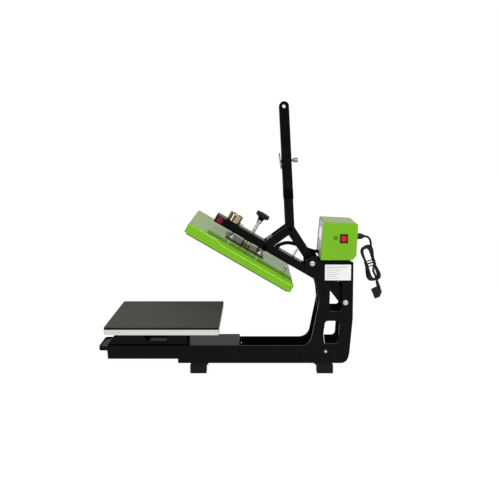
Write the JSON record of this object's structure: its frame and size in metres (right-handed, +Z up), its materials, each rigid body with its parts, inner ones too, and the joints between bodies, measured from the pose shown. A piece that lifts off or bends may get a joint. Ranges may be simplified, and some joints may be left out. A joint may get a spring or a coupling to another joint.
{
  "type": "heat press",
  "caption": "Clamshell heat press with a hinged heated head on a forked lever, a pull-out padded platen, a pressure screw knob and a rear control box.",
  "frame": {"origin": "centre of the footprint on the table, midway between the pull handle and the cable gland", "axes": "+X to the side with the power switch, -Y towards the operator and the drawer, +Z up; the stored pose is open with the drawer out"},
  "size_m": [0.404, 0.992, 0.9423],
  "materials": {
    "black": "semi-gloss black paint",
    "green": "gloss lime green paint",
    "rubber": "matt",
    "plastic": "satin",
    "grey": "satin",
    "label": "satin",
    "red": "gloss",
    "glass": "gloss",
    "pad": "matt",
    "ptfe": "satin non-stick coating",
    "wool": "matt",
    "board": "satin",
    "steel": "satin",
    "chrome": "polished",
    "aluminium": "machined",
    "bronze": "zinc passivated"
  },
  "bodies": {
    "frame": {"frame_side_left": "black", "frame_side_right": "black", "frame_rear_plate": "black", "base_deck": "black", "foot_front_left": "rubber", "foot_front_right": "rubber", "foot_rear_left": "rubber", "foot_rear_right": "rubber", "arm_pivot_shaft": "steel", "handle_pivot_shaft": "steel", "strut_foot_pin": "steel", "label_plate": "label", "control_box_bracket": "black", "control_box_shell": "green", "control_panel": "grey", "control_display": "glass", "rocker_bezel": "plastic", "fuse_holder": "plastic", "control_board": "board", "solid_state_relay": "plastic", "cable_gland": "plastic", "mains_cord": "rubber", "mains_cord_hank": "rubber", "mains_plug": "rubber", "heater_conduit": "rubber", "slide_channel_left": "steel", "slide_channel_right": "steel"},
    "arm": {"press_arm": "black", "pressure_nut": "steel", "link_pin": "steel", "electromagnet": "bronze", "release_bezel": "plastic"},
    "release": {"release_button": "red"},
    "head": {"heat_cover": "green", "heat_insulation": "wool", "heating_plate": "ptfe", "mount_plate": "black", "thrust_bush": "steel", "guide_rod": "chrome"},
    "knob": {"pressure_screw": "steel", "pressure_knob": "plastic"},
    "handle": {"handle_fork": "black", "handle_grip": "rubber", "armature_plate": "steel"},
    "link": {"toggle_link": "black", "knee_bolt_left": "steel", "knee_bolt_right": "steel"},
    "strut_rod": {"strut_rod": "chrome"},
    "strut_cylinder": {"strut_cylinder": "black"},
    "drawer": {"drawer_carriage": "black", "platen_holder": "black", "platen_plate": "aluminium", "silicone_pad": "pad", "pull_handle": "black", "slide_rail_left": "steel", "slide_rail_right": "steel"},
    "rocker": {"rocker_switch": "red"},
    "set_key": {"key_set": "grey"},
    "down_key": {"key_down": "grey"},
    "up_key": {"key_up": "grey"}
  },
  "joints": [
    {"name": "arm_hinge", "type": "hinge", "parent": "frame", "child": "arm", "pos_m": [0, 0.3959, 0.251], "axis": [1, 0, 0], "range_deg": [0, 30.25], "stiffness_Nm_per_rad": 250, "springref_deg": -25.78},
    {"name": "handle_hinge", "type": "hinge", "parent": "frame", "child": "handle", "pos_m": [0, 0.2801, 0.3876], "axis": [1, 0, 0], "range_deg": [0, 82.7]},
    {"name": "toggle_hinge", "type": "hinge", "parent": "arm", "child": "link", "pos_m": [0, 0.1173, 0.44184], "axis": [1, 0, 0], "range_deg": [-37.8, 0]},
    {"name": "strut_rod_hinge", "type": "hinge", "parent": "frame", "child": "strut_rod", "pos_m": [0, 0.3285, 0.078], "axis": [1, 0, 0], "range_deg": [0, 9.5]},
    {"name": "strut_slide", "type": "slide", "parent": "strut_rod", "child": "strut_cylinder", "axis": [0, -0.1149, 0.9934], "range_m": [-0.0532, 0]},
    {"name": "head_slide", "type": "slide", "parent": "arm", "child": "head", "axis": [0, 0.5038, 0.8638], "range_m": [-0.0035, 0.0035]},
    {"name": "knob_turn", "type": "hinge", "parent": "arm", "child": "knob", "pos_m": [0, 0.08405, 0.50232], "axis": [0, 0.5038, 0.8638], "range_deg": [-720.5, 720.5]},
    {"name": "release_press", "type": "slide", "parent": "arm", "child": "release", "axis": [-1, 0, 0], "range_m": [0, 0.0025], "stiffness_N_per_m": 600, "springref_m": -0.002},
    {"name": "drawer_slide", "type": "slide", "parent": "frame", "child": "drawer", "axis": [0, 1, 0], "range_m": [0, 0.219]},
    {"name": "set_press", "type": "slide", "parent": "frame", "child": "set_key", "axis": [0, 0.9939, -0.1104], "range_m": [0, 0.0012], "stiffness_N_per_m": 800, "springref_m": -0.001},
    {"name": "down_press", "type": "slide", "parent": "frame", "child": "down_key", "axis": [0, 0.9939, -0.1104], "range_m": [0, 0.0012], "stiffness_N_per_m": 800, "springref_m": -0.001},
    {"name": "up_press", "type": "slide", "parent": "frame", "child": "up_key", "axis": [0, 0.9939, -0.1104], "range_m": [0, 0.0012], "stiffness_N_per_m": 800, "springref_m": -0.001},
    {"name": "power_rock", "type": "hinge", "parent": "frame", "child": "rocker", "pos_m": [0.0858, 0.3843, 0.4775], "axis": [0, 1, 0], "range_deg": [-16, 0]}
  ],
  "couplings": [
    {"joint": "handle_hinge", "follows": "arm_hinge", "ratio": 2.7291},
    {"joint": "toggle_hinge", "follows": "arm_hinge", "ratio": -1.2445},
    {"joint": "strut_rod_hinge", "follows": "arm_hinge", "ratio": 0.30925},
    {"joint": "strut_slide", "follows": "arm_hinge", "m_per_rad": -0.10043},
    {"joint": "knob_turn", "follows": "head_slide", "rad_per_m": 3590.4}
  ]
}
